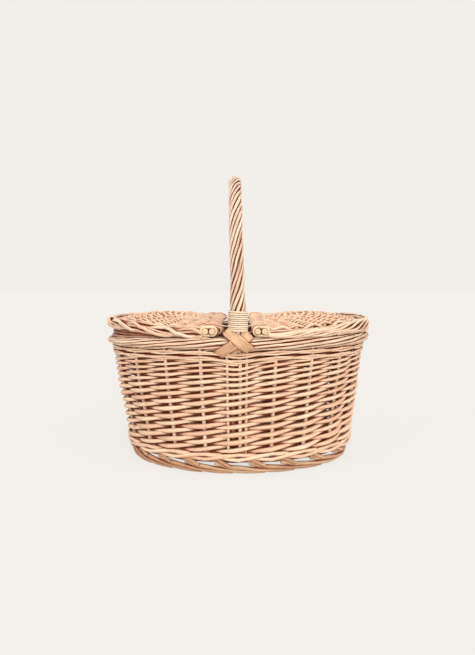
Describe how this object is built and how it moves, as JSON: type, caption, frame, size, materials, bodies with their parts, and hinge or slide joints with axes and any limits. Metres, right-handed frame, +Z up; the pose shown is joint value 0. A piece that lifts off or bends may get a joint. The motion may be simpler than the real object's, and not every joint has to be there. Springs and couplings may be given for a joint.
{
  "type": "picnic basket",
  "caption": "Oval woven willow picnic basket with two D-shaped lids hinged at a middle crossbar and a fixed roped arch handle across its short side.",
  "frame": {"origin": "middle of the footprint, on the surface that the foot ring stands on", "axes": "+Z up; +X along the basket's length, towards the right lid; the front faces -Y; the handle stands in the YZ plane"},
  "size_m": [0.404, 0.3094, 0.426],
  "materials": {
    "willow": "peeled willow rods, satin, each rod a little different in tone",
    "stick_willow": "thicker peeled willow sticks and stakes, satin, with pale cut ends",
    "skein": "pale split skein, smooth, slightly glossy",
    "split_willow": "wide flat split strips, smooth, slightly glossy"
  },
  "bodies": {
    "basket": {"foot_border": "willow", "base_weave": "willow", "base_long_stick_01": "stick_willow", "base_long_stick_02": "stick_willow", "base_long_stick_03": "stick_willow", "base_cross_stick_01": "stick_willow", "base_cross_stick_02": "stick_willow", "base_cross_stick_03": "stick_willow", "base_cross_stick_04": "stick_willow", "base_cross_stick_05": "stick_willow", "stake_01": "stick_willow", "stake_02": "stick_willow", "stake_03": "stick_willow", "stake_04": "stick_willow", "stake_05": "stick_willow", "stake_06": "stick_willow", "stake_07": "stick_willow", "stake_08": "stick_willow", "stake_09": "stick_willow", "stake_10": "stick_willow", "stake_11": "stick_willow", "stake_12": "stick_willow", "stake_13": "stick_willow", "stake_14": "stick_willow", "stake_15": "stick_willow", "stake_16": "stick_willow", "stake_17": "stick_willow", "stake_18": "stick_willow", "stake_19": "stick_willow", "stake_20": "stick_willow", "upsett_wale": "willow", "side_weave": "willow", "top_wale": "willow", "top_border": "willow", "handle_bow": "stick_willow", "handle_rope": "willow", "foot_wrap_front": "skein", "foot_wrap_back": "skein", "cross_binding_front": "split_willow", "cross_binding_back": "split_willow", "crossbar_left": "stick_willow", "crossbar_right": "stick_willow", "hinge_loop_left_front": "skein", "hinge_loop_left_back": "skein", "hinge_loop_right_front": "skein", "hinge_loop_right_back": "skein"},
    "left_lid": {"left_lid_hinge_stick": "stick_willow", "left_lid_second_stick": "stick_willow", "left_lid_fan_stick_01": "stick_willow", "left_lid_fan_stick_02": "stick_willow", "left_lid_fan_stick_03": "stick_willow", "left_lid_weave": "willow", "left_lid_rim": "willow"},
    "right_lid": {"right_lid_hinge_stick": "stick_willow", "right_lid_second_stick": "stick_willow", "right_lid_fan_stick_01": "stick_willow", "right_lid_fan_stick_02": "stick_willow", "right_lid_fan_stick_03": "stick_willow", "right_lid_weave": "willow", "right_lid_rim": "willow"}
  },
  "joints": [
    {"name": "left_lid_hinge", "type": "hinge", "parent": "basket", "child": "left_lid", "pos_m": [-0.034, 0, 0.1959], "axis": [0, 1, 0], "range_deg": [0, 93]},
    {"name": "right_lid_hinge", "type": "hinge", "parent": "basket", "child": "right_lid", "pos_m": [0.026, 0, 0.1959], "axis": [0, -1, 0], "range_deg": [0, 93]}
  ]
}
